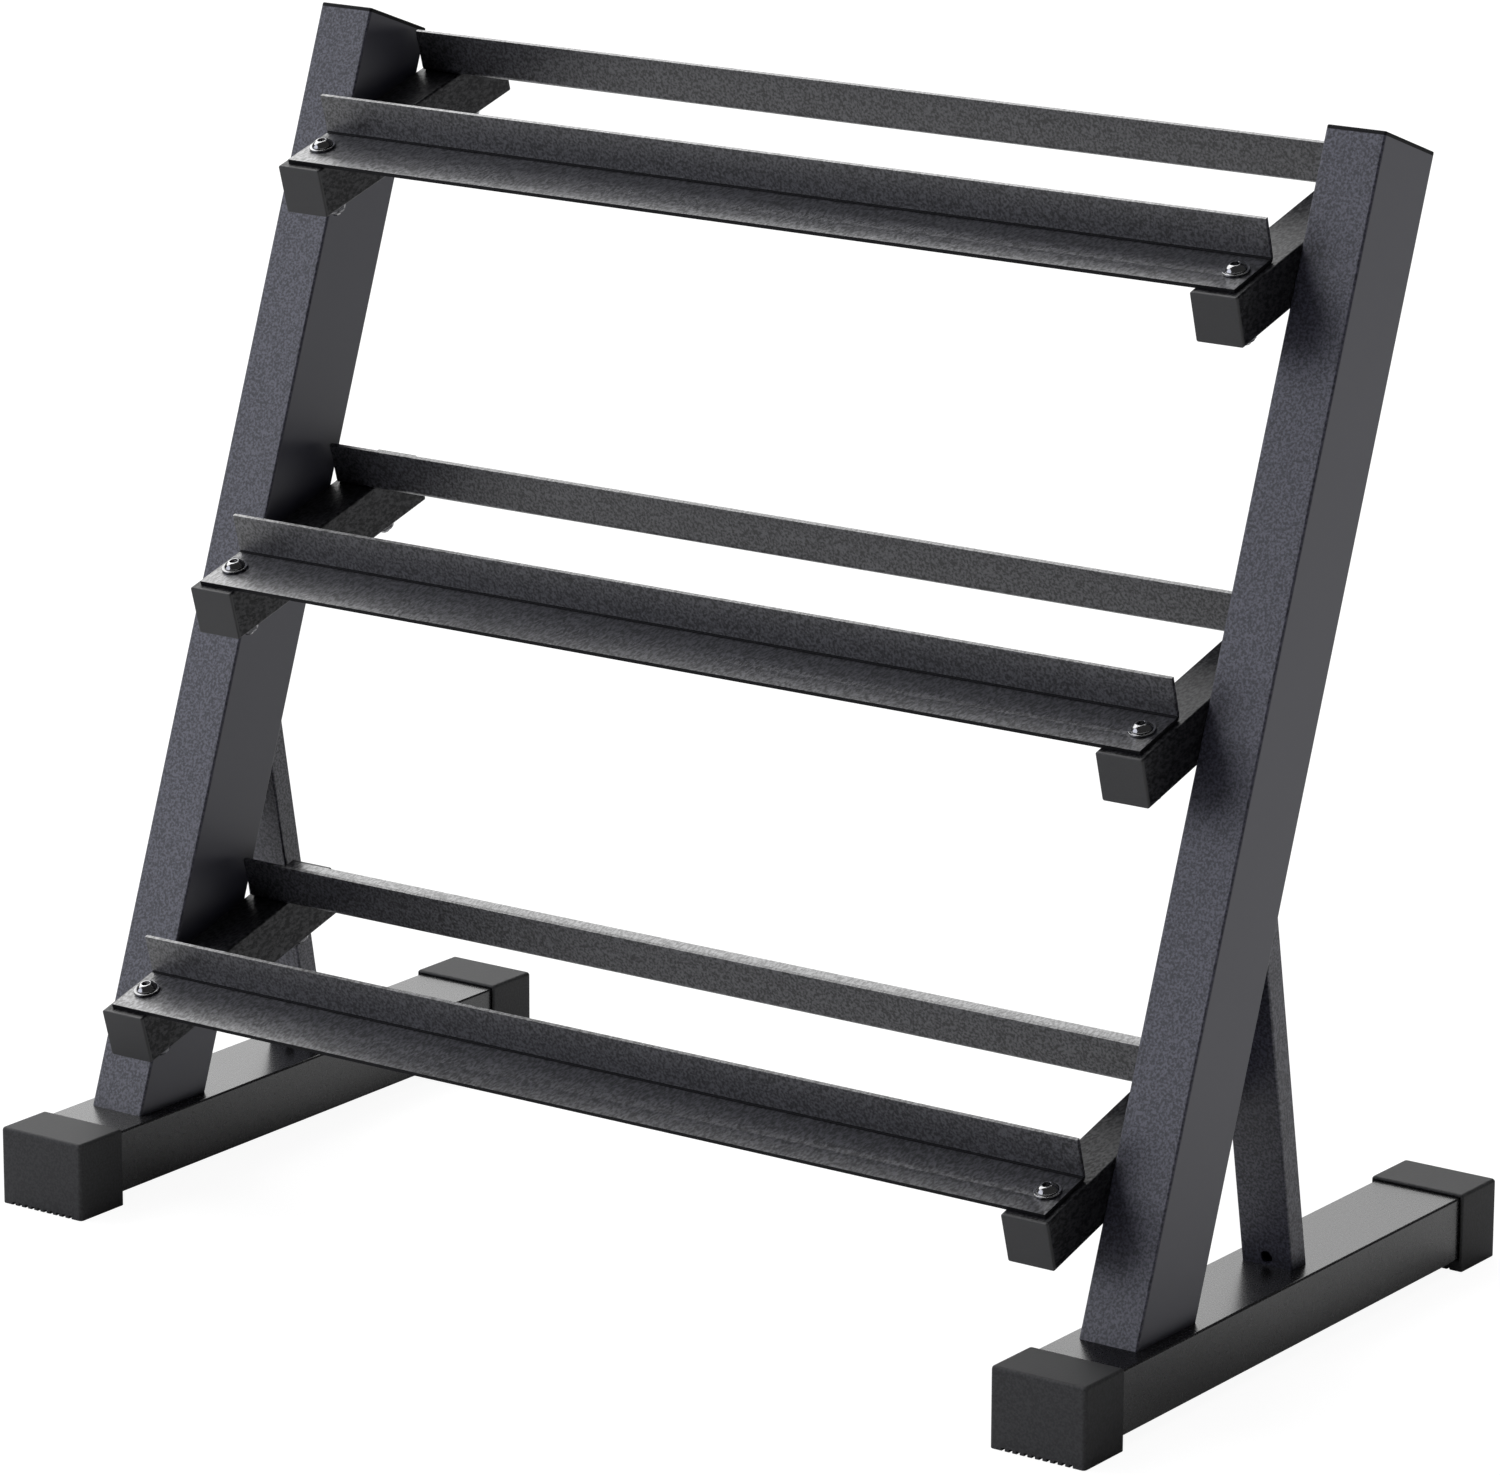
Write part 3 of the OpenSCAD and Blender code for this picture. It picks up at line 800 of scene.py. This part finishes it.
boot_shape = boot()
for side in SIDES:
    for end in ENDS:
        name = f"{side}_{end}_boot"
        low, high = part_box(name)
        closed_end = Vector(((low.x + high.x) / 2, low.y if end == "front" else high.y, low.z))
        half_turn = Matrix.Rotation(0 if end == "front" else math.pi, 4, "Z")
        place = Matrix.Translation(closed_end) @ half_turn @ Matrix.Scale(MM, 4)
        add_piece("moulded_" + name, boot_shape.copy(), place, [BOOT_PLASTIC], [name])
boot_shape.free()

for side in SIDES:
    name = f"{side}_upright_plug"
    top = Matrix.Translation((0, UPRIGHT_SECTION[1] / 2, UPRIGHT_LENGTH - TOP_PLATE))
    shape = tube_plug(*UPRIGHT_SECTION, TUBE_CORNER, TOP_PLATE, TOP_SKIRT)
    place = upright_frame(side) @ top
    add_piece("moulded_" + name, shape, place, [TOP_PLUG_PLASTIC], [name])
    for tier in TIERS:
        x = middle_of(f"{side}_{tier}_arm").x / MM
        for end in ENDS:
            name = f"{side}_{tier}_arm_{end}_plug"
            outwards = Matrix.Rotation(math.pi / 2, 4, "X")
            place = end_frame(tier, end) @ Matrix.Translation((x, ARM_PLATE, -ARM_SIDE / 2)) @ outwards
            shape = tube_plug(ARM_SIDE, ARM_SIDE, ARM_CORNER, ARM_PLATE, ARM_SKIRT)
            add_piece("moulded_" + name, shape, place, [PLUG_PLASTIC], [name])

shapes = {"bolts": bolt(), "washers": washer(), "lock_nuts": lock_nut(), "nylon_rings": nylon_ring()}
for tier in TIERS:
    places = bolt_places(tier)
    for part, shape, level, material, slot, node in (
        ("bolts", "bolts", SHEET + WASHER, BLACK_CHROME, "bolt_steel", "bolts"),
        ("head_washers", "washers", SHEET, BLACK_CHROME, "washer_steel", "head_washers"),
        ("nut_washers", "washers", -ARM_SIDE - WASHER, ZINC, "washer_steel", "nut_washers"),
        ("lock_nuts", "lock_nuts", -ARM_SIDE - WASHER, NUT_ZINC, "nut_steel", "lock_nuts"),
        ("nylon_rings", "nylon_rings", -ARM_SIDE - WASHER, NYLON, "plug_plastic", None),
    ):
        copies = merged([(shapes[shape], place @ Matrix.Translation((0, 0, level))) for place in places])
        nodes = [f"{tier}_tier_{node}"] if node else []
        add_piece(f"turned_{tier}_{part}", copies, Matrix(), [material], nodes)
for shape in shapes.values():
    shape.free()


# ---- floor, light and camera ----------------------------------------------

FLOOR_WIDTH = 30
FLOOR_WHITE = (0.86, 0.86, 0.86, 1)
FLOOR_ROUGHNESS = 0.9
FLOOR_SPECULAR = 0.1
FLOOR_GLOW = 1.2
FLOOR_LIFT = 0.78
WORLD_SEEN = 1.0
WORLD_LIGHT = 0.06
SUN_SPREAD = 48
COOL = (0.94, 0.96, 1.08)

VIEW_AZIMUTH = 35.449
VIEW_HEIGHT = 14.905
VIEW_ROLL = 0.204
VIEW_DISTANCE = 4.16756
VIEW_AIM = Vector((0.136035, -0.18342, 0.377267))
VIEW_LENS = 172.84
SENSOR = 36


def mixed(tree, share, first, second):
    """Adds a mix of two shaders to a node tree and returns its result."""
    mix = tree.nodes.new("ShaderNodeMixShader")
    for slot, source in zip(mix.inputs, (share, first, second)):
        link(tree, source, slot)
    return mix.outputs["Shader"]


def floor_paint():
    """White paint, which the camera sees lifted towards plain white, and which is clear from below."""
    material = bpy.data.materials.new("floor_white")
    material.use_nodes = True
    tree = material.node_tree
    paint = tree.nodes["Principled BSDF"]
    paint.inputs["Base Color"].default_value = FLOOR_WHITE
    paint.inputs["Roughness"].default_value = FLOOR_ROUGHNESS
    paint.inputs["Specular IOR Level"].default_value = FLOOR_SPECULAR
    glow = tree.nodes.new("ShaderNodeEmission")
    glow.inputs["Strength"].default_value = FLOOR_GLOW
    seen = tree.nodes.new("ShaderNodeLightPath").outputs["Is Camera Ray"]
    lift = calculate(tree, "MULTIPLY", seen, FLOOR_LIFT)
    lifted = mixed(tree, lift, paint.outputs["BSDF"], glow.outputs["Emission"])
    below = tree.nodes.new("ShaderNodeNewGeometry").outputs["Backfacing"]
    clear = tree.nodes.new("ShaderNodeBsdfTransparent").outputs["BSDF"]
    surface = mixed(tree, below, lifted, clear)
    link(tree, surface, tree.nodes["Material Output"].inputs["Surface"])
    return material


def add_floor():
    bm = bmesh.new()
    bmesh.ops.create_grid(bm, x_segments=1, y_segments=1, size=FLOOR_WIDTH / 2)
    mesh = bpy.data.meshes.new("floor")
    bm.to_mesh(mesh)
    bm.free()
    mesh.materials.append(floor_paint())
    floor = bpy.data.objects.new("floor", mesh)
    bpy.context.scene.collection.objects.link(floor)


def add_world():
    """White surroundings, which the camera sees in full and which give the rack only a little light."""
    world = bpy.data.worlds.new("studio")
    bpy.context.scene.world = world
    world.use_nodes = True
    tree = world.node_tree
    background = tree.nodes["Background"]
    background.inputs["Color"].default_value = (1, 1, 1, 1)
    strength = tree.nodes.new("ShaderNodeMix")
    strength.inputs[2].default_value = WORLD_LIGHT
    strength.inputs[3].default_value = WORLD_SEEN
    link(tree, tree.nodes.new("ShaderNodeLightPath").outputs["Is Camera Ray"], strength.inputs["Factor"])
    link(tree, strength.outputs[0], background.inputs["Strength"])


def direction(azimuth, height):
    """The direction of a place in the sky, in degrees. Azimuth 0 is in front and 90 is at the right."""
    a, e = math.radians(azimuth), math.radians(height)
    return Vector((math.sin(a) * math.cos(e), -math.cos(a) * math.cos(e), math.sin(e)))


def add_sun(name, azimuth, height, strength, colour=(1, 1, 1)):
    """A broad soft light from far away."""
    light = bpy.data.lights.new(name, "SUN")
    light.energy = strength
    light.angle = math.radians(SUN_SPREAD)
    light.color = colour
    sun = bpy.data.objects.new(name, light)
    sun.rotation_mode = "QUATERNION"
    sun.rotation_quaternion = (-direction(azimuth, height)).to_track_quat("-Z", "Y")
    bpy.context.scene.collection.objects.link(sun)
    return sun


def add_camera():
    lens = bpy.data.cameras.new("camera")
    lens.lens = VIEW_LENS
    lens.sensor_width = SENSOR
    lens.clip_start = 0.1
    lens.clip_end = 100
    camera = bpy.data.objects.new("camera", lens)
    back = direction(VIEW_AZIMUTH, VIEW_HEIGHT)
    roll = Quaternion((0, 0, 1), math.radians(VIEW_ROLL))
    camera.location = VIEW_AIM + back * VIEW_DISTANCE
    camera.rotation_mode = "QUATERNION"
    camera.rotation_quaternion = (-back).to_track_quat("-Z", "Y") @ roll
    bpy.context.scene.collection.objects.link(camera)
    bpy.context.scene.camera = camera


add_floor()
add_world()
add_sun("top_light", 0, 88, 0.53).visible_glossy = False
add_sun("left_light", 270, 45, 1.5)
add_sun("front_light", 315, 12, 0.92, COOL)
add_sun("back_light", 225, 12, 0.42)
add_sun("back_fill", 225, 42, 1.05)
add_camera()
bpy.context.scene.view_settings.view_transform = "Standard"
